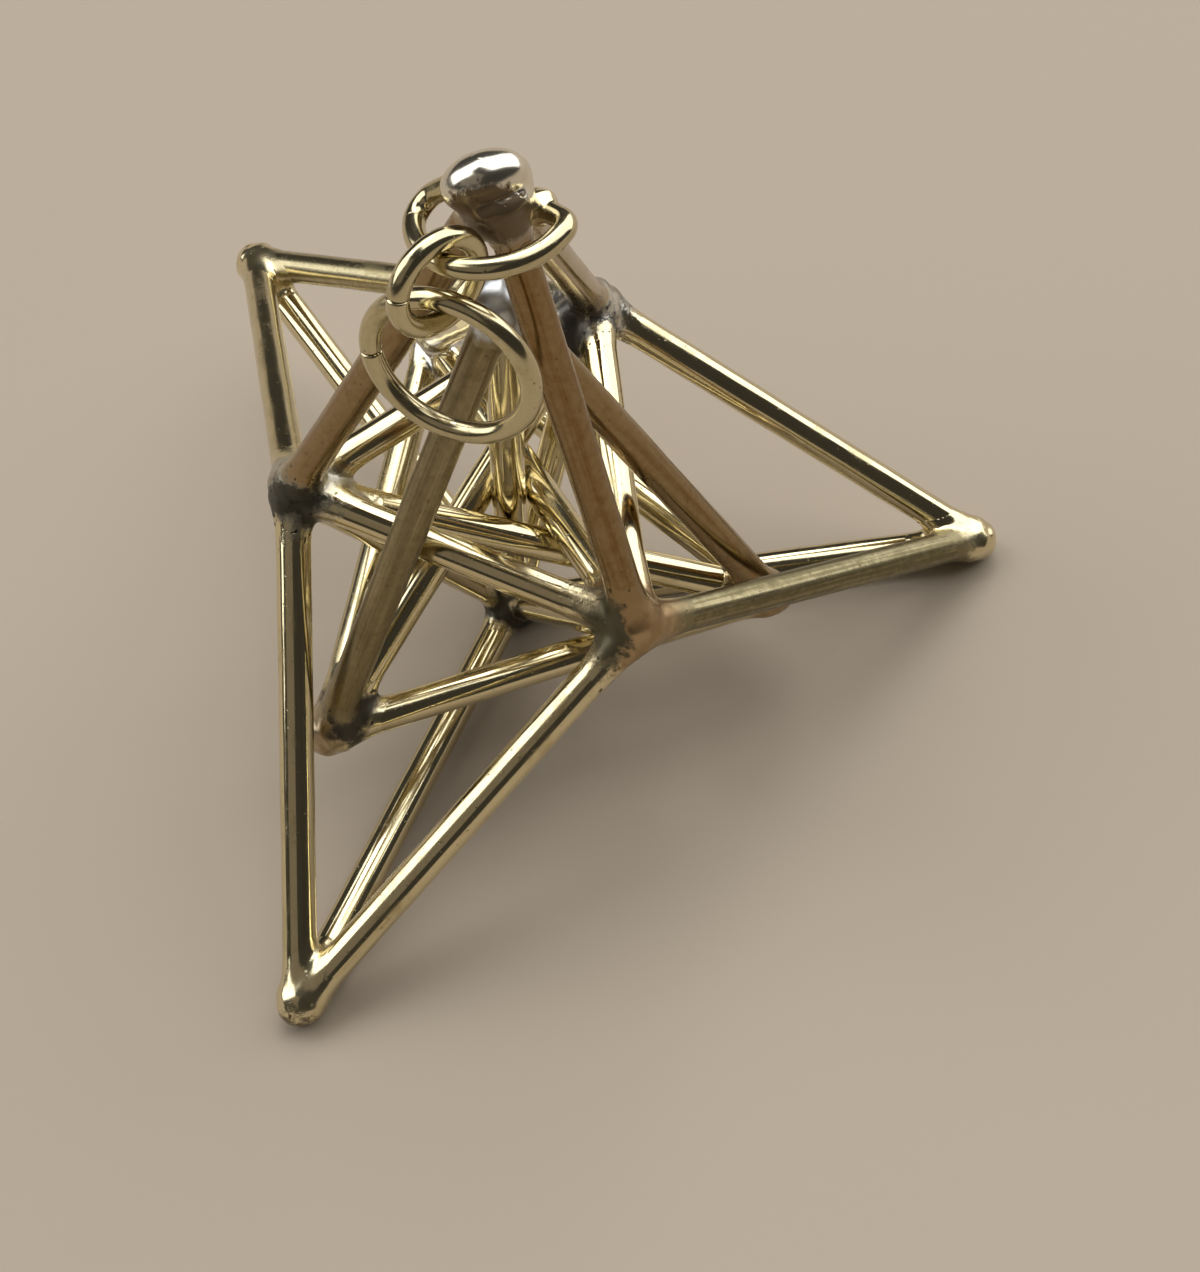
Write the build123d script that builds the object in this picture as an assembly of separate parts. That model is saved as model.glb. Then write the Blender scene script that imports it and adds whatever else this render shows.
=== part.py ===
from build123d import *
import os
from math import acos, asin, atan2, cos, degrees, hypot, pi, radians, sin, sqrt, tan

# Driving dimensions of the star, in mm. Bars are measured from joint centre to joint centre.
rod_diameter = 1.6         # round brass rod of every bar
core_bar = 17.0            # bar of the inner tetrahedron
spike_bar = 23.8           # bar of a spike, from the core to the spike's tip
cage_overhang = 2.6        # how far a base bar of the outer tetrahedron outreaches a core bar, each end
low_gap = 0.4              # air between a cage base bar and the core bar that it passes
high_gap = 0.9             # air between a cage side bar and the core bar that it passes
diagonal_gap = 0.06        # air between two diagonals where they pass in the core

# Solder at the joints: radius of the bead and how far it runs out along each bar.
core_bead = 1.35
core_runout = 2.5
cage_bead = 1.2
cage_runout = 2.3
tip_bead = 1.1
tip_runout = 2.6
cap_bead = 1.55
cap_runout = 1.9

# Findings at the top tip: a soldered hoop, a small link on it and a hanging ring on the link.
wire_diameter = 0.9        # wire of all three
hoop_diameter = 6.0        # mean diameter of the round front of the hoop
hoop_offset = 0.5198       # tip to the middle of that round: sideways, the side's azimuth, and down
hoop_offset_azimuth = 249.35
hoop_drop = 1.1315
hoop_tilt = 17.6           # hoop axis off the star's axis, and the azimuth that it tips to
hoop_tilt_azimuth = 113.5
hoop_round = (172.0, 318.0)  # azimuths between which the wire is round
hoop_left_run = 1.25       # straight run from the round to the corner at each side
hoop_right_run = 0.95
hoop_bend = 0.6            # bend of the wire at both corners
hoop_left_way = (-5.0, 165.0)  # way from the tip to the left end: elevation and azimuth
hoop_foot_drop = 1.46      # how far below the tip the right end lies, between two bars
hoop_gap = 0.1             # air between the wire's ends and the bars, filled with solder
hoop_solder_bead = 0.75    # radius of the solder round the right end
link_diameter = 3.8        # mean diameter of the small link
ring_diameter = 6.8        # mean diameter of the hanging ring
play = 0.08                # air between two wires that hang in each other
seam_width = 0.12          # cut through the wire of the link and of the hanging ring

# How the link and the ring hang, in degrees: elevation and azimuth of the way each hangs from its
# seat, and the turn of its axis about that way.
link_seat_azimuth = 226.3
link_hang = (-66.4, 244.6)
link_turn = 30.6
ring_seat_turn = -15.0     # place of the ring's seat on the link, off the link's lowest point
ring_hang = (-73.5, 278.9)
ring_turn = 126.5

# Sides of the star, each with the core joint that lies opposite. Joints are named T for the tips,
# C for the core's corners and K for the cage's corners.
OPPOSITE = {"right": "left", "rear": "front", "front": "rear"}

rod_radius = rod_diameter / 2
wire_radius = wire_diameter / 2


def polar(radius, azimuth, height):
    """Point at a radius and azimuth (degrees) round the star's axis."""
    return Vector(radius * cos(radians(azimuth)), radius * sin(radians(azimuth)), height)


def direction(elevation, azimuth):
    """Unit vector at an elevation and azimuth in degrees."""
    return polar(cos(radians(elevation)), azimuth, sin(radians(elevation)))


def star_points():
    """Joint centres of the star, standing on its lowest core joint with one spike straight up.

    The spikes stand on the core's four faces. The cage is a second tetrahedron, turned about the
    vertical so that its diagonals pass the core's centre side by side instead of meeting there.
    """
    core_radius = core_bar / sqrt(3)
    core_top = core_bar * sqrt(2 / 3)
    centre = 0.75 * core_top
    tip_top = core_top + sqrt(spike_bar**2 - core_radius**2)
    reach = tip_top - centre
    foot_radius = reach * 2 * sqrt(2) / 3
    foot_height = centre - reach / 3

    cage_radius = (core_bar + 2 * cage_overhang) / sqrt(3)
    pass_distance = rod_diameter + diagonal_gap
    twist = asin(pass_distance / cage_radius) + asin(pass_distance / core_radius)
    slope = core_radius / core_top
    low_pass = (rod_diameter + low_gap) * sqrt(1 + (slope * cos(twist))**2)
    cage_base = (cage_radius / 2 - low_pass) / (slope * cos(twist))
    across = cage_radius * cos(twist)
    beyond = across - core_radius / 2
    rise = core_top - cage_base
    high_pass = rod_diameter + high_gap
    root = sqrt(rise**2 + beyond**2 - high_pass**2)
    cage_height = across * (beyond * rise + high_pass * root) / (beyond**2 - high_pass**2)

    points = {"T_top": Vector(0, 0, tip_top), "C_low": Vector(0, 0, 0),
              "K_top": Vector(0, 0, cage_base + cage_height)}
    for name, azimuth in (("right", 0), ("rear", 120), ("front", 240)):
        points["T_" + name] = polar(foot_radius, azimuth, foot_height)
        points["K_" + name] = polar(cage_radius, azimuth - degrees(twist), cage_base)
        points["C_" + OPPOSITE[name]] = polar(core_radius, azimuth + 180, core_top)
    return points


def ring_of_pairs(prefix, names):
    """Neighbouring joints of a triangle, two by two."""
    return [(prefix + a, prefix + b) for a, b in zip(names, names[1:] + names[:1])]


def named_bars():
    """Every bar of the star as name: (joint, joint)."""
    sides = list(OPPOSITE)
    upper = list(OPPOSITE.values())
    groups = {"core_bar": ring_of_pairs("C_", upper) + [("C_low", "C_" + s) for s in upper],
              "top_spike_bar": [("T_top", "C_" + s) for s in upper],
              "cage_base_bar": ring_of_pairs("K_", sides),
              "cage_side_bar": [("K_" + s, "K_top") for s in sides],
              "diagonal_bar": [("K_" + s, "C_" + OPPOSITE[s]) for s in sides] + [("K_top", "C_low")]}
    for side in sides:
        near = ["low"] + [s for s in upper if s != OPPOSITE[side]]
        groups[side + "_spike_bar"] = [("T_" + side, "C_" + s) for s in near]
    return {f"{group}_{n}": bar for group, bars in groups.items() for n, bar in enumerate(bars, 1)}


POINTS = star_points()
BARS = named_bars()


def bars_at(joint):
    """Unit directions of the bars that leave a joint, by bar name."""
    found = {}
    for name, (first, last) in BARS.items():
        if joint in (first, last):
            other = last if joint == first else first
            found[name] = (POINTS[other] - POINTS[joint]).normalized()
    return found


def mitred(shape, joint, bar):
    """The share of a shape that lies nearer to one bar than to the joint's other bars.

    Round bars of one thickness whose axes meet cross exactly in the planes that halve the angles
    between them, so these planes are the mitre cuts of the bars and part the solder too.
    """
    leaving = bars_at(joint)
    for other, heading in leaving.items():
        if other != bar:
            plane = Plane(origin=POINTS[joint], z_dir=leaving[bar] - heading)
            shape = split(shape, bisect_by=plane, keep=Keep.TOP)
    return shape


def bar_solid(name):
    """One round bar, mitred at both ends."""
    first, last = BARS[name]
    along = POINTS[last] - POINTS[first]
    seat = Plane(origin=POINTS[first], z_dir=along)
    shape = seat * Cylinder(rod_radius, along.length, align=(Align.CENTER, Align.CENTER, Align.MIN))
    return mitred(mitred(shape, first, name), last, name)


def solder_profile(bead, runout):
    """Half section of the solder on one bar, in X (off the bar) and Z (along it).

    A ball round the joint, then a straight fillet that leaves the ball as a tangent and runs out
    on the bar.
    """
    turn = atan2(rod_radius, runout) + acos(bead / hypot(runout, rod_radius))
    leave = (bead * sin(turn), bead * cos(turn))
    halfway = (turn + pi) / 2
    with BuildSketch(Plane.XZ) as sketch:
        with BuildLine():
            ThreePointArc((0, -bead), (bead * sin(halfway), bead * cos(halfway)), leave)
            Polyline(leave, (rod_radius, runout), (rod_radius, 0), (0, 0), (0, -bead))
        make_face()
    return sketch.sketch


def largest(shape):
    """The largest solid of a shape, without specks that its neighbours cut off."""
    return shape.solids().sort_by(SortBy.VOLUME)[-1]


def solder_solid(joint, bead, runout):
    """The solder of one joint: the shares of all its bars in one piece.

    A speck of it that the bars shut in between them is left out.
    """
    shares = []
    for bar, heading in bars_at(joint).items():
        whole = revolve(solder_profile(bead, runout), Axis.Z)
        shares.append(mitred(Plane(origin=POINTS[joint], z_dir=heading) * whole, joint, bar))
    return largest(shares[0].fuse(*shares[1:]))


def across(heading, turn):
    """Unit vector square to a heading, turned about it by an angle in degrees."""
    level = heading.cross(Vector(0, 0, 1)).normalized()
    return level * cos(radians(turn)) + heading.cross(level) * sin(radians(turn))


def wire_ring(centre, axis, diameter, seam=None):
    """Ring of round wire; with a seam, the wire is cut through at that direction."""
    seat = Plane(origin=centre, x_dir=seam or across(axis, 0), z_dir=axis)
    ring = Torus(diameter / 2, wire_radius)
    if seam:
        ring -= Pos(diameter / 2, 0, 0) * Box(3 * wire_diameter, seam_width, 3 * wire_diameter)
    return seat * ring


# Places of the three rings. The hoop's ends stand off the top bars by the solder gap, and the link
# and the ring each hang in the one before with the named play.
hold = wire_diameter + play
left_bar = (POINTS["C_left"] - POINTS["T_top"]).normalized()
hoop_axis = direction(90 - hoop_tilt, hoop_tilt_azimuth)
hoop_centre = POINTS["T_top"] + polar(hoop_offset, hoop_offset_azimuth, -hoop_drop)
end_distance = rod_radius + hoop_gap + wire_radius


def in_hoop_plane(azimuth):
    """Unit vector in the hoop's plane toward an azimuth round the star's axis."""
    outward = polar(1, azimuth, 0)
    return (outward - hoop_axis * outward.dot(hoop_axis)).normalized()


def hoop_left_end():
    """Left end of the hoop's wire, in the cap's solder and clear of the left top bar."""
    way = direction(*hoop_left_way)
    return POINTS["T_top"] + way * (end_distance / sqrt(1 - way.dot(left_bar)**2))


def hoop_right_end():
    """Right end of the hoop's wire, in the valley between the rear and the front top bar.

    The point (x, 0, -drop) off the tip lies as far from both bars as the wire's end has to.
    """
    lean = asin(core_bar / sqrt(3) / spike_bar)
    k = sin(lean) / 2
    drop = hoop_foot_drop
    half = k * drop * cos(lean)
    free = (drop * sin(lean))**2 - end_distance**2
    x = (half + sqrt(half**2 - (1 - k**2) * free)) / (1 - k**2)
    return POINTS["T_top"] + Vector(x, 0, -drop)


def bend(before, corner, after):
    """Start, middle and end of the arc that rounds a corner of the wire."""
    one = (before - corner).normalized()
    two = (after - corner).normalized()
    half = acos(one.dot(two)) / 2
    middle = corner + (one + two).normalized() * (hoop_bend / sin(half) - hoop_bend)
    return corner + one * (hoop_bend / tan(half)), middle, corner + two * (hoop_bend / tan(half))


def hoop_bends():
    """Ends of the hoop's round front, and the arcs that turn the wire in at the left and right."""
    first, last = (in_hoop_plane(azimuth) for azimuth in hoop_round)
    start = hoop_centre + first * (hoop_diameter / 2)
    end = hoop_centre + last * (hoop_diameter / 2)
    left_corner = start - hoop_axis.cross(first) * hoop_left_run
    right_corner = end + hoop_axis.cross(last) * hoop_right_run
    return (start, end, bend(hoop_left_end(), left_corner, start),
            bend(end, right_corner, hoop_right_end()))


def hoop_wire():
    """The hoop: out of the cap's solder, round the front, and in between two bars at the right."""
    start, end, left_bend, right_bend = hoop_bends()
    front = hoop_centre + in_hoop_plane(sum(hoop_round) / 2) * (hoop_diameter / 2)
    path = Wire([Line(hoop_left_end(), left_bend[0]), ThreePointArc(*left_bend),
                 Line(left_bend[2], start), ThreePointArc(start, front, end),
                 Line(end, right_bend[0]), ThreePointArc(*right_bend),
                 Line(right_bend[2], hoop_right_end())])
    section = Plane(origin=path @ 0, z_dir=path % 0) * Circle(wire_radius)
    return sweep(section, path=path)


def hoop_end(end, turn):
    """The straight end of the hoop's wire, from its cut face to where it turns."""
    along = turn - end
    seat = Plane(origin=end, z_dir=along)
    return seat * Cylinder(wire_radius, along.length, align=(Align.CENTER, Align.CENTER, Align.MIN))


link_seat = hoop_centre + in_hoop_plane(link_seat_azimuth) * (hoop_diameter / 2)
link_down = direction(*link_hang)
link_axis = across(link_down, link_turn)
link_side = link_axis.cross(link_down)
link_centre = link_seat + link_down * (link_diameter / 2 - hold)
seat_way = link_down * cos(radians(ring_seat_turn)) + link_side * sin(radians(ring_seat_turn))
ring_seat = link_centre + seat_way * (link_diameter / 2)
ring_down = direction(*ring_hang)
ring_axis = across(ring_down, ring_turn)
ring_side = ring_axis.cross(ring_down)
ring_centre = ring_seat - seat_way * hold + ring_down * (ring_diameter / 2)


def lay_down(shape):
    """Lays the star on its lowest core joint and on the right and front tips, on Z = 0."""
    foot = POINTS["T_right"]
    sideways = foot.X * cos(radians(60))
    lean = atan2(foot.Z, sideways) - asin((tip_bead - core_bead) / hypot(foot.Z, sideways))
    rolled = shape.rotate(Axis((0, 0, 0), tuple(polar(1, 30, 0))), degrees(lean))
    return Pos(0, 0, core_bead) * rolled


def build():
    """Every piece of the ornament by its name."""
    sides = tuple(OPPOSITE)
    pieces = {name: bar_solid(name) for name in BARS}
    pieces["top_cap_solder"] = solder_solid("T_top", cap_bead, cap_runout)
    for side in sides:
        pieces[side + "_tip_solder"] = solder_solid("T_" + side, tip_bead, tip_runout)
    for side in ("low",) + tuple(OPPOSITE.values()):
        pieces[side + "_core_solder"] = solder_solid("C_" + side, core_bead, core_runout)
    for side in ("top",) + sides:
        pieces[side + "_cage_solder"] = solder_solid("K_" + side, cage_bead, cage_runout)
    left_bend, right_bend = hoop_bends()[2:]
    left_end = hoop_end(hoop_left_end(), left_bend[0])
    right_end = hoop_end(hoop_right_end(), right_bend[2])
    top_bars = [solid for name, solid in pieces.items() if name.startswith("top_spike_bar")]
    pieces["top_cap_solder"] = largest(pieces["top_cap_solder"].cut(left_end, right_end))
    pieces["tip_hoop"] = hoop_wire()
    foot = Pos(hoop_right_end()) * Sphere(hoop_solder_bead)
    pieces["hoop_solder"] = largest(foot.cut(right_end, pieces["top_cap_solder"], *top_bars))
    pieces["small_link"] = wire_ring(link_centre, link_axis, link_diameter, link_side)
    pieces["hanging_ring"] = wire_ring(ring_centre, ring_axis, ring_diameter, ring_side)
    return pieces


os.makedirs("parts", exist_ok=True)
for name, solid in build().items():
    export_step(lay_down(solid), f"parts/{name}.step")
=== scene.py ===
"""A star pendant soldered from round brass bars, with a hoop, a link and a ring at its top tip."""
import math

import bpy
import numpy as np
from mathutils import Matrix


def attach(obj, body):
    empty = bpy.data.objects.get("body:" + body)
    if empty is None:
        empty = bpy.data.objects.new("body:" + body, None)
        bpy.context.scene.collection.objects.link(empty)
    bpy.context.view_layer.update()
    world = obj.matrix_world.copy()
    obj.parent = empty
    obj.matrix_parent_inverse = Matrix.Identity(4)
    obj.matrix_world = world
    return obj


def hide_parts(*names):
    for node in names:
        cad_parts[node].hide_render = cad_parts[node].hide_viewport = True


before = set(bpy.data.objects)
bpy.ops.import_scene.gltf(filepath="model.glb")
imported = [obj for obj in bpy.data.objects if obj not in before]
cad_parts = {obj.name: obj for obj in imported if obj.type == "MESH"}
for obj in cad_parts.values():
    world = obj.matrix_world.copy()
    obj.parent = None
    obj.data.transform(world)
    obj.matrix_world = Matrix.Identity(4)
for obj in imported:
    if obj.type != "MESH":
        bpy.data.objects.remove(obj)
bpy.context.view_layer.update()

MM = 0.001

# Sizes of the star, in mm, as its bars are cut.
ROD_RADIUS = 0.8
CORE_BAR = 17.0
SPIKE_BAR = 23.8
CAGE_OVERHANG = 2.6
LOW_GAP = 0.4
HIGH_GAP = 0.9
DIAGONAL_GAP = 0.06
CORE_BEAD = 1.35
TIP_BEAD = 1.1

# Sizes of the findings, in mm, and how they hang, in degrees.
WIRE_RADIUS = 0.45
HOOP_DIAMETER = 6.0
HOOP_OFFSET = 0.5198
HOOP_OFFSET_AZIMUTH = 249.35
HOOP_DROP = 1.1315
HOOP_TILT = 17.6
HOOP_TILT_AZIMUTH = 113.5
HOOP_ROUND = (172.0, 318.0)
HOOP_LEFT_RUN = 1.25
HOOP_RIGHT_RUN = 0.95
HOOP_BEND = 0.85
HOOP_LEFT_WAY = (-5.0, 165.0)
HOOP_FOOT_DROP = 1.46
HOOP_GAP = 0.1
LINK_DIAMETER = 3.8
RING_DIAMETER = 6.8
PLAY = 0.08
SEAM_WIDTH = 0.05
LINK_SEAT_AZIMUTH = 226.3
LINK_HANG = (-66.4, 244.6)
LINK_TURN = 30.6
RING_SEAT_TURN = -15.0
RING_HANG = (-73.5, 278.9)
RING_TURN = 126.5

# The camera of the photograph, in mm and degrees; its nearest visible distance is in m.
CAMERA_PLACE = (6.733, -67.823, 97.765)
LOOK_AZIMUTH = 92.266
LOOK_ELEVATION = -56.032
CAMERA_ROLL = -10.012
CAMERA_LENS = 69.157
SENSOR_WIDTH = 36.0
CAMERA_NEAREST = 0.001

OPPOSITE = {"right": "left", "rear": "front", "front": "rear"}


def unit(vector):
    """The vector divided by its length."""
    return np.asarray(vector, float) / np.linalg.norm(vector)


def polar(radius, azimuth, height):
    """Point at a radius and azimuth (degrees) round the star's axis."""
    angle = math.radians(azimuth)
    return np.array([radius * math.cos(angle), radius * math.sin(angle), height])


def direction(elevation, azimuth):
    """Unit vector at an elevation and azimuth in degrees."""
    angle = math.radians(elevation)
    return polar(math.cos(angle), azimuth, math.sin(angle))


def across(heading, turn):
    """Unit vector square to a heading, turned about it by an angle in degrees."""
    level = unit(np.cross(heading, (0, 0, 1)))
    angle = math.radians(turn)
    return level * math.cos(angle) + np.cross(heading, level) * math.sin(angle)


def star_points():
    """Joint centres of the upright star: T tips, C core corners, K cage corners."""
    core_radius = CORE_BAR / math.sqrt(3)
    core_top = CORE_BAR * math.sqrt(2 / 3)
    centre = 0.75 * core_top
    tip_top = core_top + math.sqrt(SPIKE_BAR**2 - core_radius**2)
    reach = tip_top - centre

    rod = 2 * ROD_RADIUS
    cage_radius = (CORE_BAR + 2 * CAGE_OVERHANG) / math.sqrt(3)
    pass_distance = rod + DIAGONAL_GAP
    twist = math.asin(pass_distance / cage_radius) + math.asin(pass_distance / core_radius)
    slope = core_radius / core_top * math.cos(twist)
    cage_base = (cage_radius / 2 - (rod + LOW_GAP) * math.hypot(1, slope)) / slope
    width = cage_radius * math.cos(twist)
    beyond = width - core_radius / 2
    rise = core_top - cage_base
    high_pass = rod + HIGH_GAP
    root = math.sqrt(rise**2 + beyond**2 - high_pass**2)
    cage_height = width * (beyond * rise + high_pass * root) / (beyond**2 - high_pass**2)

    points = {"T_top": np.array([0, 0, tip_top]), "C_low": np.zeros(3),
              "K_top": np.array([0, 0, cage_base + cage_height])}
    for name, azimuth in (("right", 0), ("rear", 120), ("front", 240)):
        points["T_" + name] = polar(reach * 2 * math.sqrt(2) / 3, azimuth, centre - reach / 3)
        points["K_" + name] = polar(cage_radius, azimuth - math.degrees(twist), cage_base)
        points["C_" + OPPOSITE[name]] = polar(core_radius, azimuth + 180, core_top)
    return points


def triangle(prefix, names):
    """Neighbouring joints of a triangle, two by two."""
    return [(prefix + a, prefix + b) for a, b in zip(names, names[1:] + names[:1])]


def named_bars():
    """Every bar of the star as name: (joint, joint)."""
    sides = list(OPPOSITE)
    upper = list(OPPOSITE.values())
    diagonals = [("K_" + side, "C_" + OPPOSITE[side]) for side in sides]
    groups = {"core_bar": triangle("C_", upper) + [("C_low", "C_" + corner) for corner in upper],
              "top_spike_bar": [("T_top", "C_" + corner) for corner in upper],
              "cage_base_bar": triangle("K_", sides),
              "cage_side_bar": [("K_" + side, "K_top") for side in sides],
              "diagonal_bar": diagonals + [("K_top", "C_low")]}
    for side in sides:
        near = ["low"] + [corner for corner in upper if corner != OPPOSITE[side]]
        groups[side + "_spike_bar"] = [("T_" + side, "C_" + corner) for corner in near]
    return {f"{group}_{number}": bar for group, bars in groups.items()
            for number, bar in enumerate(bars, 1)}


UPRIGHT = star_points()
BARS = named_bars()


def lean_matrix():
    """Rotation that lays the star on its lowest core joint and its right and front tips.

    It leans toward azimuth 300, 60 degrees from either tip, about the level axis at azimuth 30.
    """
    foot = UPRIGHT["T_right"]
    sideways = foot[0] * math.cos(math.radians(60))
    reach = math.hypot(foot[2], sideways)
    lean = math.atan2(foot[2], sideways) - math.asin((TIP_BEAD - CORE_BEAD) / reach)
    x, y, z = polar(1, 30, 0)
    skew = np.array([[0, -z, y], [z, 0, -x], [-y, x, 0]])
    return np.eye(3) + math.sin(lean) * skew + (1 - math.cos(lean)) * skew @ skew


LEAN = lean_matrix()


def laid(points):
    """Points of the upright star, in mm, where they lie on the floor."""
    return points @ LEAN.T + np.array([0, 0, CORE_BEAD])


POINTS = {name: laid(point) for name, point in UPRIGHT.items()}

HOLD = 2 * WIRE_RADIUS + PLAY
HOOP_AXIS = direction(90 - HOOP_TILT, HOOP_TILT_AZIMUTH)
HOOP_CENTRE = UPRIGHT["T_top"] + polar(HOOP_OFFSET, HOOP_OFFSET_AZIMUTH, -HOOP_DROP)

# Points on each bend of the hoop, on its round front, and on the straight runs before and after
# the left and the right bend. The last FOOT_POINTS of them give the heading of its solder.
BEND_POINTS = 18
FRONT_POINTS = 90
LEFT_POINTS = (16, 6)
RIGHT_POINTS = (5, 10)
FOOT_POINTS = 8


def in_hoop_plane(azimuth):
    """Unit vectors in the hoop's plane toward azimuths (degrees) round the star's axis."""
    angle = np.radians(azimuth)
    outward = np.stack([np.cos(angle), np.sin(angle), np.zeros_like(angle)], -1)
    flat = outward - (outward @ HOOP_AXIS)[..., None] * HOOP_AXIS
    return flat / np.linalg.norm(flat, axis=-1, keepdims=True)


def hoop_ends():
    """The hoop's left end in the cap's solder and its right end between two bars, upright star.

    Both clear the middle lines of the bars beside them by one distance. The right end's x solves
    x^2 + drop^2 - (x * toward + drop * cos(lean))^2 = distance^2.
    """
    tip = UPRIGHT["T_top"]
    distance = ROD_RADIUS + HOOP_GAP + WIRE_RADIUS
    way = direction(*HOOP_LEFT_WAY)
    left_bar = unit(UPRIGHT["C_left"] - tip)
    left = tip + way * distance / math.sqrt(1 - (way @ left_bar)**2)
    lean = math.asin(CORE_BAR / math.sqrt(3) / SPIKE_BAR)
    toward = math.sin(lean) / 2
    half = toward * HOOP_FOOT_DROP * math.cos(lean)
    free = (HOOP_FOOT_DROP * math.sin(lean))**2 - distance**2
    x = (half + math.sqrt(half**2 - (1 - toward**2) * free)) / (1 - toward**2)
    return left, tip + np.array([x, 0, -HOOP_FOOT_DROP])


def straight(start, end, count):
    """Points on a line, the last left out."""
    return start + (end - start) * np.linspace(0, 1, count, endpoint=False)[:, None]


def bend(before, corner, after):
    """Points on the arc of the wire's bend radius that rounds a corner."""
    one, two = unit(before - corner), unit(after - corner)
    half = math.acos(one @ two) / 2
    middle = corner + unit(one + two) * HOOP_BEND / math.sin(half)
    first = corner + one * HOOP_BEND / math.tan(half) - middle
    last = corner + two * HOOP_BEND / math.tan(half) - middle
    sweep = math.pi - 2 * half
    share = np.linspace(0, 1, BEND_POINTS)[:, None]
    turned = np.sin((1 - share) * sweep) * first + np.sin(share * sweep) * last
    return middle + turned / math.sin(sweep)


def hoop_line():
    """Line of the hoop's wire, laid down: from the cap round the front to the right-hand bars."""
    left, right = hoop_ends()
    spokes = in_hoop_plane(np.linspace(*HOOP_ROUND, FRONT_POINTS))
    front = HOOP_CENTRE + spokes * HOOP_DIAMETER / 2
    left_corner = front[0] - np.cross(HOOP_AXIS, spokes[0]) * HOOP_LEFT_RUN
    right_corner = front[-1] + np.cross(HOOP_AXIS, spokes[-1]) * HOOP_RIGHT_RUN
    left_bend = bend(left, left_corner, front[0])
    right_bend = bend(front[-1], right_corner, right)
    line = np.vstack([straight(left, left_bend[0], LEFT_POINTS[0]), left_bend[:-1],
                      straight(left_bend[-1], front[0], LEFT_POINTS[1]), front[:-1],
                      straight(front[-1], right_bend[0], RIGHT_POINTS[0]), right_bend[:-1],
                      straight(right_bend[-1], right, RIGHT_POINTS[1]), right[None]])
    return laid(line)


def hanging_rings():
    """Centre, axis and seam direction of the link and the ring, laid down, in mm."""
    link_down = direction(*LINK_HANG)
    link_axis = across(link_down, LINK_TURN)
    link_side = np.cross(link_axis, link_down)
    seat = HOOP_CENTRE + in_hoop_plane(LINK_SEAT_AZIMUTH) * HOOP_DIAMETER / 2
    link = seat + link_down * (LINK_DIAMETER / 2 - HOLD)
    turn = math.radians(RING_SEAT_TURN)
    way = link_down * math.cos(turn) + link_side * math.sin(turn)
    ring_down = direction(*RING_HANG)
    ring_axis = across(ring_down, RING_TURN)
    ring_side = np.cross(ring_axis, ring_down)
    ring = link + way * (LINK_DIAMETER / 2 - HOLD) + ring_down * RING_DIAMETER / 2
    return {"small_link": (laid(link), LEAN @ link_axis, LEAN @ link_side),
            "hanging_ring": (laid(ring), LEAN @ ring_axis, LEAN @ ring_side)}


# Meshes from grids of points.


def grid_mesh(name, points, attributes):
    """Object from a grid of points (rows, columns, 3) in mm, each row a ring round the piece.

    Faces join neighbours in a row and in the next row, and the first and last rows are closed by
    a fan to their middle point.
    """
    rows, columns = points.shape[:2]
    index = np.arange(rows * columns).reshape(rows, columns)
    upper, lower = index[:-1], index[1:]
    quads = np.stack([upper, np.roll(upper, -1, 1), np.roll(lower, -1, 1), lower], -1)
    first, last = index[0], index[-1]
    middle = np.full(columns, rows * columns)
    fans = np.vstack([np.stack([np.roll(first, -1), first, middle], -1),
                      np.stack([last, np.roll(last, -1), middle + 1], -1)])
    vertices = np.vstack([points.reshape(-1, 3), points[0].mean(0), points[-1].mean(0)])
    mesh = bpy.data.meshes.new(name)
    mesh.from_pydata((vertices * MM).tolist(), [], quads.reshape(-1, 4).tolist() + fans.tolist())
    mesh.polygons.foreach_set("use_smooth", np.ones(len(mesh.polygons), bool))
    for label, values in attributes.items():
        grid = values.reshape(rows, columns, -1)
        flat = np.vstack([grid.reshape(rows * columns, -1), grid[0].mean(0), grid[-1].mean(0)])
        kind, field = ("FLOAT_VECTOR", "vector") if flat.shape[1] == 3 else ("FLOAT", "value")
        layer = mesh.attributes.new(label, kind, "POINT")
        layer.data.foreach_set(field, flat.astype(np.float32).ravel())
    mesh.update()
    piece = bpy.data.objects.new(name, mesh)
    bpy.context.scene.collection.objects.link(piece)
    return piece


# A heading whose height is past this counts as steep.
STEEP = 0.9


def frame_across(heading):
    """Two unit vectors square to a heading and to each other."""
    helper = (0, 0, 1) if abs(heading[2]) < STEEP else (1, 0, 0)
    side = unit(np.cross(heading, helper))
    return side, np.cross(heading, side)


# Circles along a bar and points round each; the outermost circles lie BAR_END mm inside its ends.
BAR_ALONG = 72
BAR_AROUND = 40
BAR_END = 0.02

# Unevenness of a bar's radius: its size in mm, two pitches in radians per mm, and the first one's
# shift from bar to bar in radians.
BAR_WAVE = 0.010
BAR_WAVE_PITCH = (1.1, 0.43)
BAR_WAVE_SHIFT = 1.7

# Steps in mm by which each bar's and each wire's finish is moved, so that no two look alike.
BAR_FINISH_STEP = np.array([3.1, 5.7, 41.0])
WIRE_FINISH_STEP = np.array([4.3, 2.9, 37.0])

# How dull and how brown a bar is, from 0 to 1; the others are plain. Both are partly real tarnish
# and heat stain and partly painted reflection: dull darkens a bar as if it mirrored dark
# surroundings, brown tints it as if it mirrored a brown table.
TARNISH_AND_DARK_REFLECTION = {
    "right_spike_bar_2": (0.95, 0.1),
    "rear_spike_bar_2": (0.25, 0.0),
    "rear_spike_bar_3": (0.6, 0.0),
    "top_spike_bar_1": (0.05, 0.85),
    "top_spike_bar_2": (0.05, 0.9),
    "top_spike_bar_3": (0.05, 0.65),
    "cage_side_bar_1": (0.05, 0.85),
    "cage_side_bar_3": (0.7, 0.5),
    "cage_base_bar_2": (0.3, 0.0),
}
PLAIN_TARNISH_AND_DARK_REFLECTION = (0.08, 0.0)


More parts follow.
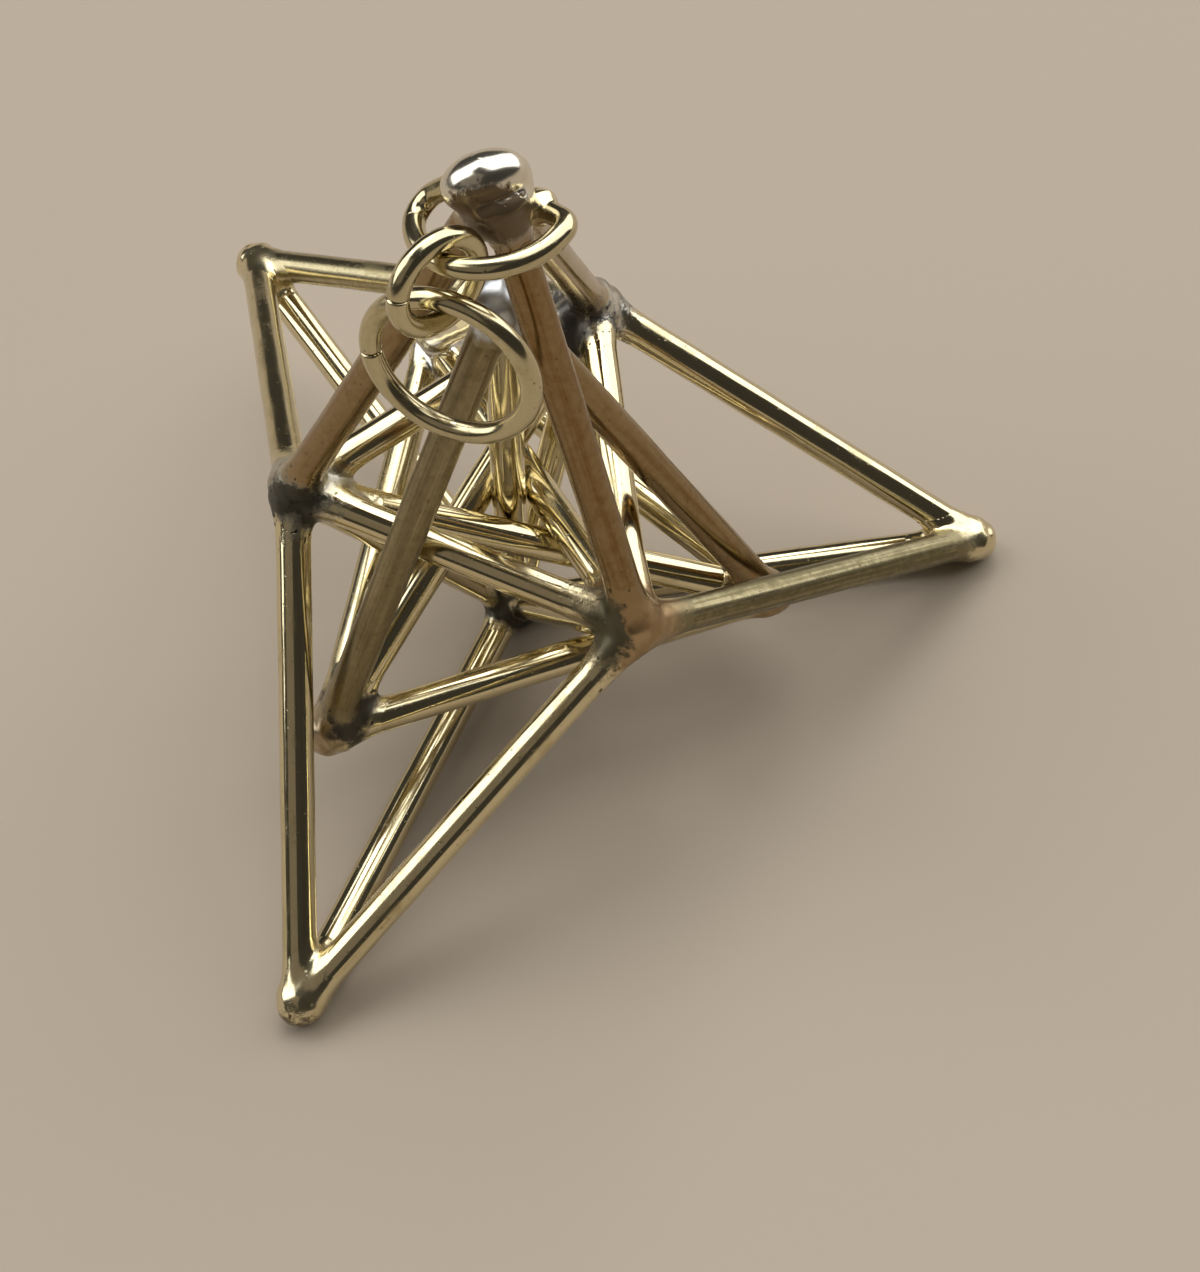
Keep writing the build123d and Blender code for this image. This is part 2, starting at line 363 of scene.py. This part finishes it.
def bar_piece(name, number):
    """A drawn bar: circles of the rod's radius carried along the line between two joints.

    The radius is rod * sqrt(1 - (1 - s/rod)^2) over the first and last rod radius, so the ends are
    half round and lie inside the solder, and rod + wave * sin(...) * sin(...) between them.
    """
    start, end = (POINTS[joint] for joint in BARS[name])
    length = np.linalg.norm(end - start)
    heading = (end - start) / length
    side, rise = frame_across(heading)
    shape = (BAR_ALONG, BAR_AROUND)
    share = np.linspace(0, 1, BAR_ALONG)
    swell = 0.5 - 0.5 * np.cos(np.pi * share)
    along = (0.5 * share + 0.5 * swell) * (length - 2 * BAR_END) + BAR_END
    from_end = np.minimum(along, length - along)
    taper = np.sqrt(1 - (1 - np.clip(from_end / ROD_RADIUS, 0, 1))**2)
    wave = (BAR_WAVE * np.sin(along * BAR_WAVE_PITCH[0] + number * BAR_WAVE_SHIFT)
            * np.sin(along * BAR_WAVE_PITCH[1] + number))
    radius = (ROD_RADIUS + wave * taper) * taper
    angle = np.linspace(0, 2 * np.pi, BAR_AROUND, endpoint=False)
    local = np.stack([radius[:, None] * np.cos(angle), radius[:, None] * np.sin(angle),
                      np.broadcast_to(along[:, None], shape)], -1)
    points = start + local[..., :1] * side + local[..., 1:2] * rise + local[..., 2:] * heading
    # Dull and brown shares: partly real tarnish and heat stain, partly painted dark and brown
    # reflection.
    dull, brown_stain_and_reflection = TARNISH_AND_DARK_REFLECTION.get(name, PLAIN_TARNISH_AND_DARK_REFLECTION)
    marks = {"rod_place": local + BAR_FINISH_STEP * number,
             "from_joint": np.broadcast_to(from_end[:, None], shape),
             "dull": np.full(shape, dull), "browned_and_brown_reflection": np.full(shape, brown_stain_and_reflection)}
    return grid_mesh(name + "_rod", points, marks)


# Circles along a ring and points round each circle of a wire.
RING_ALONG = 160
WIRE_AROUND = 28

# A wire's distance from any joint in mm and how dull it is, for its finish. The dullness is a
# little real and mostly a painted dark reflection.
WIRE_FROM_JOINT = 9.0
WIRE_DULL_AND_DARK_REFLECTION = 0.28

# A cut edge is broken over this width in mm, down to this share of the wire's radius.
CUT_EDGE = 0.03
CUT_SHARE = 0.96


def wire_marks(section, along, number):
    """Attributes of a wire's finish: its own place, far from any joint, and a little dull, mostly
    as a painted dark reflection.
    """
    shape = section.shape[:2]
    place = np.concatenate([section, np.broadcast_to(along[:, None, None], shape + (1,))], -1)
    return {"rod_place": place + WIRE_FINISH_STEP * number,
            "from_joint": np.full(shape, WIRE_FROM_JOINT),
            "dull": np.full(shape, WIRE_DULL_AND_DARK_REFLECTION), "browned_and_brown_reflection": np.zeros(shape)}


def ring_piece(name, centre, axis, seam, diameter, number):
    """A cut ring of round wire: circles of the wire's radius carried round, but for the seam.

    A point is centre + (diameter / 2 + radius * cos(angle)) * spoke + radius * sin(angle) * axis.
    The two cut faces have slightly broken edges.
    """
    gap = SEAM_WIDTH / diameter
    turn = np.linspace(gap, 2 * np.pi - gap, RING_ALONG)
    from_end = np.minimum(turn - gap, 2 * np.pi - gap - turn) * diameter / 2
    radius = WIRE_RADIUS * np.minimum(CUT_SHARE + (1 - CUT_SHARE) * from_end / CUT_EDGE, 1)
    angle = np.linspace(2 * np.pi, 0, WIRE_AROUND, endpoint=False)
    section = radius[:, None, None] * np.stack([np.cos(angle), np.sin(angle)], -1)
    spoke = np.cos(turn)[:, None] * seam + np.sin(turn)[:, None] * np.cross(axis, seam)
    points = centre + (diameter / 2 + section[..., :1]) * spoke[:, None] + section[..., 1:] * axis
    return grid_mesh(name + "_wire", points, wire_marks(section, turn * diameter / 2, number))


def hoop_piece(name, number):
    """The hoop: circles of the wire's radius carried along its bent line."""
    line = hoop_line()
    ahead = np.gradient(line, axis=0)
    ahead /= np.linalg.norm(ahead, axis=1)[:, None]
    side = np.cross(ahead, LEAN @ HOOP_AXIS)
    side /= np.linalg.norm(side, axis=1)[:, None]
    rise = np.cross(ahead, side)
    along = np.concatenate([[0], np.cumsum(np.linalg.norm(np.diff(line, axis=0), axis=1))])
    angle = np.linspace(0, 2 * np.pi, WIRE_AROUND, endpoint=False)
    section = np.broadcast_to(WIRE_RADIUS * np.stack([np.cos(angle), np.sin(angle)], -1),
                              (len(line), WIRE_AROUND, 2))
    points = line[:, None] + section[..., :1] * side[:, None] + section[..., 1:] * rise[:, None]
    return grid_mesh(name + "_wire", points, wire_marks(section, along, number))


# Rings of a lump and points round each; its poles are cut off by POLE_GAP radians, and it stays
# FLOOR_GAP mm above the floor.
LUMP_RINGS = 90
LUMP_AROUND = 180
POLE_GAP = 0.02
FLOOR_GAP = 0.002

# In mm: how deep the solder's edge runs into a bar, how thick solder is where it is fully uneven,
# and how widely a bar's solder is rounded into the ball.
EDGE_DEPTH = 0.03
THICK_FILM = 0.3
FILLET = 0.12

# The runout's ripple: its share, shift and pitch. Then the pitch of the lump's own ripple.
RUNOUT_RIPPLE = 0.28
RUNOUT_SHIFT = 0.6
RUNOUT_PITCH = 3.4
LUMP_PITCH = 2.4

# Cosines of the angle to a bar: from where its solder is fully faded in, and from where the bar
# counts as lying ahead.
FADED_IN = 0.5
AHEAD = 1e-3

# How fast burnt flux, and on the cap a painted dark reflection, grows toward its direction.
SOOT_AND_REFLECTION_GROWTH = 1.2


def ripple(directions, number, pitch):
    """Smooth uneven field from -1 to 1 over directions: a product and sum of sines."""
    x, y, z = (directions * pitch).transpose(2, 0, 1)
    first = (np.sin(1.3 * x + 2.1 * number) * np.sin(1.1 * y - 0.7 * number)
             * np.sin(1.7 * z + number))
    second = np.sin(2.9 * x - y + 1.9 * number) * np.sin(2.3 * z + 1.2 * x - number)
    return 0.65 * first + 0.35 * second


def meniscus_distance(cosine, sine, core, bead, runout):
    """Distance from the joint to the solder on a bar of radius core, by the angle to the bar.

    The solder's height on the bar is (bead - core) * (1 - s / runout)^2, s being the way along it,
    so the distance is the lower root of a quadratic. Inside the bar it ends at the runout.
    """
    height = bead - core
    forward = np.clip(cosine, 1e-6, 1)
    ahead = forward / runout
    linear = 2 * height * ahead + sine
    root = np.sqrt(np.clip(linear**2 - 4 * height * ahead**2 * bead, 0, None))
    outside = (linear - root) / (2 * height * ahead**2)
    inside = sine / forward < core / runout
    return np.where(inside, runout / np.clip(cosine, AHEAD, 1), outside)


def cushion_distance(looks, middle, axes):
    """Distance from the joint to an ellipsoid with a middle and half axes (rows), by direction.

    It is the upper root of |axes^-1 (distance * look - middle)| = 1.
    """
    shrink = np.linalg.inv(axes.T)
    look, off = looks @ shrink.T, shrink @ middle
    square, slant = (look**2).sum(-1), look @ off
    return (slant + np.sqrt(slant**2 - square * (off @ off - 1))) / square


def solder_piece(name, centre, headings, tarnish, rod, bead, runout, uneven, number, burnt_and_dark_reflection,
                 cushion=None, fillet=FILLET):
    """A lump of solder round a joint, as a distance from the joint for each direction.

    It is a ball of radius bead, or a cushion in its place. A bar whose solder stands out of that
    by over adds (over + sqrt(over^2 + 4 fillet^2)) / 2 to it, faded in from square to the bar. What
    the bars add is the root of their square sum, which fills the crotches between them. A ripple
    varies the runout, and the lump itself where it is thick. Burnt flux has an amount all over and
    one toward a direction; on the cap that directional share is mostly a painted dark reflection on
    its lower front. The edge takes over the tarnish of the bar under it, with that bar's painted
    dark and brown reflection.
    """
    tilt = np.linspace(np.pi - POLE_GAP, POLE_GAP, LUMP_RINGS)[:, None]
    azimuth = np.linspace(0, 2 * np.pi, LUMP_AROUND, endpoint=False)[None]
    looks = np.stack([np.sin(tilt) * np.cos(azimuth), np.sin(tilt) * np.sin(azimuth),
                      np.cos(tilt) * np.ones_like(azimuth)], -1)
    cosine = np.einsum("ijk,bk->bij", looks, headings)
    sine = np.sqrt(np.clip(1 - cosine**2, 1e-9, 1))
    runouts = runout * (1 + RUNOUT_RIPPLE * ripple(looks, number + RUNOUT_SHIFT, RUNOUT_PITCH))
    reach = meniscus_distance(cosine, sine, rod - EDGE_DEPTH, bead, runouts)
    ball = cushion_distance(looks, *cushion) if cushion else bead
    over = reach - ball
    fade = np.clip(cosine / FADED_IN, 0, 1)
    excess = fade**2 * (3 - 2 * fade) * (over + np.sqrt(over**2 + 4 * fillet**2)) / 2
    distance = ball + np.sqrt((excess**2).sum(0))
    film = np.where(cosine > AHEAD, distance * sine - rod, 1.0).min(0)
    thick = np.clip(film / THICK_FILM, 0, 1)
    distance = distance + uneven * thick * ripple(looks, number, LUMP_PITCH)
    points = centre + distance[..., None] * looks
    points[..., 2] = np.maximum(points[..., 2], FLOOR_GAP)
    # Burnt flux; on the cap its share toward the direction is mostly a painted dark reflection.
    overall, toward, way = burnt_and_dark_reflection
    soot_and_dark_reflection = overall + toward * np.clip(looks @ direction(*way) * SOOT_AND_REFLECTION_GROWTH, 0, 1)
    # The edge takes the bar's dull and brown shares, partly painted dark and brown reflection.
    dull, brown_stain_and_reflection = np.array(tarnish)[cosine.argmax(0)].transpose(2, 0, 1)
    marks = {"film": np.clip(film, 0, 1), "soot_and_dark_reflection": soot_and_dark_reflection, "dull": dull, "browned_and_brown_reflection": brown_stain_and_reflection}
    return grid_mesh(name + "_lump", points, marks)


# Finishes.


class Value:
    """A socket of a finish's nodes; arithmetic on it adds Math nodes."""

    def __init__(self, finish, socket):
        self.finish = finish
        self.socket = socket

    def math(self, operation, first, second, clamp=False):
        settings = {"operation": operation, "use_clamp": clamp}
        return self.finish.node("ShaderNodeMath", settings, {0: first, 1: second})

    def __add__(self, other):
        return self.math("ADD", self, other)

    def __sub__(self, other):
        return self.math("SUBTRACT", self, other)

    def __rsub__(self, other):
        return self.math("SUBTRACT", other, self)

    def __mul__(self, other):
        return self.math("MULTIPLY", self, other)

    __radd__ = __add__
    __rmul__ = __mul__

    def step(self, low, high):
        """0 below low, 1 above high and a smooth rise between; low may be the larger."""
        settings = {"interpolation_type": "SMOOTHSTEP"}
        inputs = {"Value": self, "From Min": low, "From Max": high, "To Min": 0.0, "To Max": 1.0}
        return self.finish.node("ShaderNodeMapRange", settings, inputs)

    def clamped(self):
        return self.math("ADD", self, 0.0, True)


# The mix node's sockets that carry colours: two inputs and the output.
MIX_FIRST, MIX_SECOND, MIX_RESULT = 6, 7, 2


class Finish:
    """A material under construction."""

    def __init__(self, name):
        self.material = bpy.data.materials.new(name)
        self.material.use_nodes = True
        self.tree = self.material.node_tree
        self.shader = self.tree.nodes["Principled BSDF"]

    def node(self, kind, settings=None, inputs=None, output=0):
        """Adds a node: its settings first, then values or links of its sockets."""
        made = self.tree.nodes.new(kind)
        for key, value in (settings or {}).items():
            setattr(made, key, value)
        for key, value in (inputs or {}).items():
            self.feed(made.inputs[key], value)
        return Value(self, made.outputs[output])

    def feed(self, socket, value):
        """Links a Value to a socket or sets the socket to a number or colour."""
        if isinstance(value, Value):
            self.tree.links.new(value.socket, socket)
        elif socket.type == "RGBA" and len(value) == 3:
            socket.default_value = (*value, 1.0)
        else:
            socket.default_value = value

    def set(self, **sockets):
        """Feeds the shader's sockets, named with underscores."""
        for key, value in sockets.items():
            self.feed(self.shader.inputs[key.replace("_", " ")], value)

    def attribute(self, name, output="Fac"):
        """A mesh attribute: a number, or a place with the output Vector."""
        return self.node("ShaderNodeAttribute", {"attribute_name": name}, output=output)

    def stretched(self, vector, scale):
        settings = {"operation": "MULTIPLY"}
        return self.node("ShaderNodeVectorMath", settings, {0: vector, 1: scale})

    def noise(self, vector, scale, detail, roughness=0.55):
        inputs = {"Vector": vector, "Scale": scale, "Detail": detail, "Roughness": roughness}
        return self.node("ShaderNodeTexNoise", {}, inputs)

    def mixed(self, factor, first, second):
        """Colour that goes from the first to the second with the factor."""
        inputs = {"Factor": factor, MIX_FIRST: first, MIX_SECOND: second}
        return self.node("ShaderNodeMix", {"data_type": "RGBA"}, inputs, MIX_RESULT)

    def bumped(self, height, strength, distance):
        inputs = {"Height": height, "Strength": strength, "Distance": distance}
        return self.node("ShaderNodeBump", {}, inputs)


BRIGHT_BRASS = (0.76, 0.67, 0.43)
TARNISHED_BRASS = (0.52, 0.42, 0.22)
# Dull brass is partly dull tarnish and partly a painted reflection of dark surroundings.
DULL_AND_DARK_REFLECTION_BRASS = (0.17, 0.145, 0.075)
# Brown brass is partly heat stain and partly a painted reflection of a brown table.
BROWN_STAIN_AND_REFLECTION_BRASS = (0.22, 0.12, 0.04)
SMEAR_GREY = (0.66, 0.63, 0.54)
PIT_BROWN = (0.13, 0.09, 0.05)

# How far solder is smeared along a bar from its joint, and over what length it ends, in mm.
SMEAR_REACH = 1.2
SMEAR_EDGE = 0.8


def drawn_brass(name):
    """Polished drawn brass: fine lines along it, tarnish, pits, solder smeared near joints, and
    dull and brown shares that are partly painted dark and brown reflection.
    """
    finish = Finish(name)
    place = finish.attribute("rod_place", "Vector")
    joint = finish.attribute("from_joint")
    dull = finish.attribute("dull")
    browned_and_brown_reflection = finish.attribute("browned_and_brown_reflection")
    lines = finish.noise(finish.stretched(place, (6.0, 6.0, 0.10)), 1.0, 5.0, 0.6)
    streaks = finish.noise(finish.stretched(place, (2.6, 2.6, 0.07)), 1.0, 3.0).step(0.50, 0.72)
    patches = finish.noise(finish.stretched(place, (1.1, 1.1, 0.4)), 1.0, 5.0, 0.62)
    dents = finish.noise(finish.stretched(place, (0.7, 0.7, 0.4)), 1.0, 2.0)
    mottle = finish.noise(place, 2.6, 4.0, 0.65)
    pits = finish.noise(place, 5.2, 1.0).step(0.72, 0.78)
    tarnish = (patches + (mottle - 0.5) * 0.3).step(0.48, 0.74)
    # Painted reflection: the brown share tints the brass as if it mirrored a brown table, besides
    # real heat stain.
    burn_and_brown_reflection = (browned_and_brown_reflection * (0.95 + (mottle - 0.5) * 0.35 + streaks * 0.15)).clamped()
    # Painted reflection: the dull share darkens the brass as if it mirrored dark surroundings,
    # besides real dull tarnish.
    cloud_and_dark_reflection = (dull * (0.95 + (mottle - 0.5) * 0.6 + (lines - 0.5) * 1.4)).clamped()
    film = (joint + (mottle - 0.5) * 3.0).step(SMEAR_REACH, SMEAR_REACH - SMEAR_EDGE)
    brass = finish.mixed(tarnish * 0.6 + streaks * 0.35, BRIGHT_BRASS, TARNISHED_BRASS)
    brass = finish.mixed(burn_and_brown_reflection, brass, BROWN_STAIN_AND_REFLECTION_BRASS)
    brass = finish.mixed(cloud_and_dark_reflection, brass, DULL_AND_DARK_REFLECTION_BRASS)
    brass = finish.mixed(pits * 0.75, brass, PIT_BROWN)
    colour = finish.mixed(film * 0.6, brass, SMEAR_GREY)
    rough = (0.06 + 0.07 * lines + 0.16 * tarnish + 0.24 * cloud_and_dark_reflection + 0.10 * browned_and_brown_reflection
             + 0.10 * film + 0.2 * pits)
    height = lines * 0.18 + dents * 0.6 + mottle * 0.15 - pits * 0.6 + film * 0.3
    finish.set(Base_Color=colour, Metallic=1.0, Roughness=rough.clamped(),
               Normal=finish.bumped(height, 0.22, 0.05 * MM))
    return finish.material


def solder(name, pale, dull, burnt_and_dark_reflection, roughness, crumple):
    """Soft solder: pale and dull patches, burnt flux where soot lies (on the cap also painted dark
    reflection), brass where it is thin (partly painted reflection).
    """
    finish = Finish(name)
    coords = finish.node("ShaderNodeTexCoord", output="Object")
    film = finish.attribute("film")
    soot_and_dark_reflection = finish.attribute("soot_and_dark_reflection")
    dulled_and_dark_reflection = finish.attribute("dull")
    browned_and_brown_reflection = finish.attribute("browned_and_brown_reflection")
    lumps = finish.noise(coords, 850.0, 3.0)
    grain = finish.noise(coords, 3000.0, 4.0, 0.65)
    stain = finish.noise(coords, 800.0, 5.0, 0.66)
    pits = finish.noise(coords, 2400.0, 1.0).step(0.68, 0.74)
    cover = (film + (stain - 0.5) * 0.35 + (grain - 0.5) * 0.14).step(0.02, 0.16)
    # Burnt flux; on the cap mostly a painted dark reflection on its lower front.
    char_and_dark_reflection = (soot_and_dark_reflection + (stain - 0.5) * 0.9 + (grain - 0.5) * 0.5).step(0.50, 0.66) * cover
    # Bare brass at the edge, with the bar's dull and brown shares: partly painted dark and brown
    # reflection.
    brass = finish.mixed(browned_and_brown_reflection * 0.9, BRIGHT_BRASS, BROWN_STAIN_AND_REFLECTION_BRASS)
    brass = finish.mixed(dulled_and_dark_reflection * 0.9, brass, DULL_AND_DARK_REFLECTION_BRASS)
    metal = finish.mixed(lumps.step(0.36, 0.64), pale, dull)
    metal = finish.mixed(cover, brass, metal)
    colour = finish.mixed((char_and_dark_reflection * 0.95 + pits * soot_and_dark_reflection * 1.5).clamped(), metal, burnt_and_dark_reflection)
    bare = 1.0 - cover
    rough = (roughness * cover + 0.08 + 0.10 * lumps + 0.30 * dulled_and_dark_reflection * bare + 0.14 * char_and_dark_reflection
             + 0.20 * pits)
    height = lumps * crumple + grain * (0.02 + 0.22 * crumple) + char_and_dark_reflection * 0.4 - pits * soot_and_dark_reflection
    finish.set(Base_Color=colour, Metallic=(1.0 - char_and_dark_reflection * 0.4).clamped(), Roughness=rough.clamped(),
               Normal=finish.bumped(height, 0.40, 0.10 * MM))
    return finish.material


# The solder of each joint: joint, bead, runout and unevenness in mm, burnt flux, on the cap also a
# painted dark reflection (all over, toward a direction, that direction's elevation and azimuth),
# finish, and slot.
LUMPS = {
    # The cap's flux toward elevation -20, azimuth 262 is partly burnt flux on its neck and mostly a
    # painted dark reflection over its lower front, which faces the floor.
    "top_cap_solder": (
        "T_top", 1.40, 2.3, 0.02, (0.10, 0.95, (-20, 262)), "champagne_tin", "bright_solder"),
    "right_tip_solder": (
        "T_right", 1.06, 3.0, 0.05, (0.15, 0.1, (0, 0)), "brassy_tin", "warm_solder"),
    "rear_tip_solder": (
        "T_rear", 1.06, 3.0, 0.05, (0.15, 0.1, (0, 120)), "brassy_tin", "warm_solder"),
    "front_tip_solder": (
        "T_front", 1.10, 3.0, 0.05, (0.2, 0.45, (0, 250)), "brassy_tin", "warm_solder"),
    "low_core_solder": (
        "C_low", 1.30, 2.8, 0.08, (0.8, 0.0, (0, 0)), "ashen_tin", "dark_solder"),
    "left_core_solder": (
        "C_left", 1.08, 3.6, 0.06, (0.40, 0.55, (-10, 250)), "ashen_tin", "dark_solder"),
    "front_core_solder": (
        "C_front", 1.14, 4.2, 0.05, (0.22, 0.55, (15, 185)), "tan_tin", "warm_solder"),
    "rear_core_solder": (
        "C_rear", 1.14, 3.2, 0.07, (0.50, 0.20, (20, 230)), "specked_tin", "warm_solder"),
    "top_cage_solder": (
        "K_top", 1.2, 2.3, 0.06, (0.1, 0.0, (0, 0)), "grey_tin", "bright_solder"),
    "right_cage_solder": (
        "K_right", 1.05, 2.6, 0.06, (0.25, 0.0, (0, 0)), "tan_tin", "warm_solder"),
    "rear_cage_solder": (
        "K_rear", 1.2, 2.6, 0.09, (0.3, 0.0, (0, 0)), "crumpled_tin", "bright_solder"),
    "front_cage_solder": (
        "K_front", 1.16, 3.0, 0.08, (0.22, 0.65, (24, 10)), "umber_tin", "dark_solder"),
}

# The solder at the hoop's right end: bead, runout and unevenness in mm, number, and burnt flux.
HOOP_SOLDER = (0.70, 1.3, 0.03, 20, (0.05, 0.0, (0, 0)))

# The cap is a leaning cushion: its long axis (elevation, azimuth) and turn about it in degrees, its
# half sizes, its middle off the joint along its own three axes, and its fillet in mm.
CAP_LONG = (4.0, 8.0)
CAP_TURN = 214.0
CAP_HALF = (1.70, 1.12, 1.45)
CAP_MIDDLE = (-0.29, 0.35, -0.10)
CAP_FILLET = 0.2

# Solder finishes: pale, dull and burnt colour, roughness, and how crumpled it is.
TINS = {
    # The champagne tin's burnt colour also paints the dark reflection on the cap's lower front.
    "champagne_tin": ((0.80, 0.76, 0.66), (0.74, 0.69, 0.58), (0.13, 0.085, 0.04), 0.06, 0.12),
    "grey_tin": ((0.66, 0.68, 0.70), (0.50, 0.52, 0.54), (0.10, 0.09, 0.08), 0.24, 0.5),
    "crumpled_tin": ((0.84, 0.84, 0.82), (0.48, 0.48, 0.46), (0.06, 0.055, 0.05), 0.05, 1.6),
    "brassy_tin": ((0.78, 0.69, 0.45), (0.66, 0.56, 0.34), (0.16, 0.12, 0.07), 0.08, 0.4),
    "tan_tin": ((0.44, 0.32, 0.18), (0.34, 0.23, 0.12), (0.09, 0.08, 0.045), 0.16, 0.4),
    "umber_tin": ((0.50, 0.42, 0.28), (0.36, 0.28, 0.18), (0.05, 0.045, 0.035), 0.16, 0.5),
    "specked_tin": ((0.74, 0.73, 0.68), (0.34, 0.31, 0.25), (0.05, 0.045, 0.04), 0.10, 0.9),
    "ashen_tin": ((0.56, 0.54, 0.47), (0.30, 0.27, 0.20), (0.045, 0.041, 0.026), 0.16, 0.7),
}


def cap_cushion():
    """Middle of the cap's cushion off its joint, and its half axes as rows."""
    long = direction(*CAP_LONG)
    high = across(long, CAP_TURN)
    axes = np.array([long, high, np.cross(long, high)])
    return np.array(CAP_MIDDLE) @ axes, np.array(CAP_HALF)[:, None] * axes


def place_piece(piece, node, body, finish):
    """Puts a finished piece in a CAD node's place."""
    piece.data.materials.append(finish)
    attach(piece, body)
    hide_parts(node)


def build_bars(finish):
    for number, name in enumerate(BARS):
        place_piece(bar_piece(name, number), name, "star", finish)


def build_rings(finish):
    place_piece(hoop_piece("tip_hoop", 1), "tip_hoop", "star", finish)
    kinds = {"small_link": (LINK_DIAMETER, "link"), "hanging_ring": (RING_DIAMETER, "ring")}
    for number, (name, (centre, axis, seam)) in enumerate(hanging_rings().items(), 2):
        diameter, body = kinds[name]
        piece = ring_piece(name, centre, axis, seam, diameter, number)
        place_piece(piece, name, body, finish)


def build_solder(finishes):
    for number, (name, row) in enumerate(LUMPS.items(), 1):
        joint, bead, runout, uneven, burnt_and_dark_reflection, finish, slot = row
        bars = {bar: ends for bar, ends in BARS.items() if joint in ends}
        far = [POINTS[b if a == joint else a] for a, b in bars.values()]
        headings = np.array([unit(end - POINTS[joint]) for end in far])
        tarnish = [TARNISH_AND_DARK_REFLECTION.get(bar, PLAIN_TARNISH_AND_DARK_REFLECTION) for bar in bars]
        form = (cap_cushion(), CAP_FILLET) if name == "top_cap_solder" else ()
        piece = solder_piece(name, POINTS[joint], headings, tarnish, ROD_RADIUS, bead, runout,
                             uneven, number, burnt_and_dark_reflection, *form)
        place_piece(piece, name, "star", finishes[finish])
    foot = laid(hoop_ends()[1])
    wire = unit(hoop_line()[-FOOT_POINTS] - foot)
    piece = solder_piece("hoop_solder", foot, wire[None], [PLAIN_TARNISH_AND_DARK_REFLECTION], WIRE_RADIUS,
                         *HOOP_SOLDER)
    place_piece(piece, "hoop_solder", "star", finishes["brassy_tin"])


# The stage: floor, light and camera. Lengths are in m.

FLOOR_CORNERS = 96
FLOOR_RADIUS = 6.0
FLOOR_COLOUR = (0.37, 0.311, 0.244)
FLOOR_ROUGHNESS = 0.8

# Lamps: direction from the star (elevation, azimuth), width and height, brightness, colour.
LAMP_DISTANCE = 3.0
WINDOW_WHITE = (1.0, 0.995, 0.98)
LAMPS = {
    "right_window": ((46.0, 38.0), (3.8, 5.4), 2.2, WINDOW_WHITE),
    "left_window": ((38.0, 168.0), (2.6, 2.8), 2.3, WINDOW_WHITE),
    "back_lamp": ((60.0, 110.0), (2.6, 1.8), 2.2, WINDOW_WHITE),
    "front_fill": ((42.0, 232.0), (2.6, 2.6), 0.16, (1.0, 0.85, 0.68)),
}
ROOM_COLOUR = (0.045, 0.042, 0.037, 1.0)


def build_floor():
    """A wide round pale floor under the star."""
    angle = np.linspace(0, 2 * np.pi, FLOOR_CORNERS, endpoint=False)
    rim = np.stack([np.cos(angle), np.sin(angle), np.zeros_like(angle)], -1) * FLOOR_RADIUS
    mesh = bpy.data.meshes.new("floor")
    mesh.from_pydata(rim.tolist(), [], [list(range(FLOOR_CORNERS))])
    floor = bpy.data.objects.new("floor", mesh)
    bpy.context.scene.collection.objects.link(floor)
    finish = Finish("pale_floor")
    finish.set(Base_Color=FLOOR_COLOUR, Roughness=FLOOR_ROUGHNESS)
    mesh.materials.append(finish.material)


def placed(right, up, back, place):
    """World matrix with the given axes at a place in metres."""
    rows = np.eye(4)
    rows[:3, :3] = np.array([right, up, back]).T
    rows[:3, 3] = place
    return Matrix(rows.tolist())


def soft_lamp(name, way, size, brightness, colour):
    """A rectangular lamp in a direction from the star, facing it."""
    data = bpy.data.lights.new(name, "AREA")
    data.shape = "RECTANGLE"
    data.size, data.size_y = size
    data.energy = brightness * math.pi * size[0] * size[1]
    data.color = colour
    lamp = bpy.data.objects.new(name, data)
    bpy.context.scene.collection.objects.link(lamp)
    back = direction(*way)
    side, rise = frame_across(back)
    lamp.matrix_world = placed(side, rise, back, back * LAMP_DISTANCE)


def build_light():
    """Soft lamps in a dim room."""
    for name, row in LAMPS.items():
        soft_lamp(name, *row)
    world = bpy.data.worlds.new("studio")
    world.use_nodes = True
    world.node_tree.nodes["Background"].inputs["Color"].default_value = ROOM_COLOUR
    bpy.context.scene.world = world
    bpy.context.scene.view_settings.view_transform = "Standard"


def build_camera():
    """The photograph's camera: place, look direction and roll as fitted to the joints."""
    look = direction(LOOK_ELEVATION, LOOK_AZIMUTH)
    level = unit(np.cross(look, (0, 0, 1)))
    upright = np.cross(level, look)
    roll = math.radians(CAMERA_ROLL)
    right = level * math.cos(roll) + upright * math.sin(roll)
    up = upright * math.cos(roll) - level * math.sin(roll)
    data = bpy.data.cameras.new("camera")
    data.sensor_fit = "HORIZONTAL"
    data.sensor_width = SENSOR_WIDTH
    data.lens = CAMERA_LENS
    data.clip_start = CAMERA_NEAREST
    camera = bpy.data.objects.new("camera", data)
    bpy.context.scene.collection.objects.link(camera)
    camera.matrix_world = placed(right, up, -look, np.array(CAMERA_PLACE) * MM)
    bpy.context.scene.camera = camera


BRASS = drawn_brass("drawn_brass")
build_bars(BRASS)
build_rings(BRASS)
build_solder({name: solder(name, *row) for name, row in TINS.items()})
build_floor()
build_light()
build_camera()
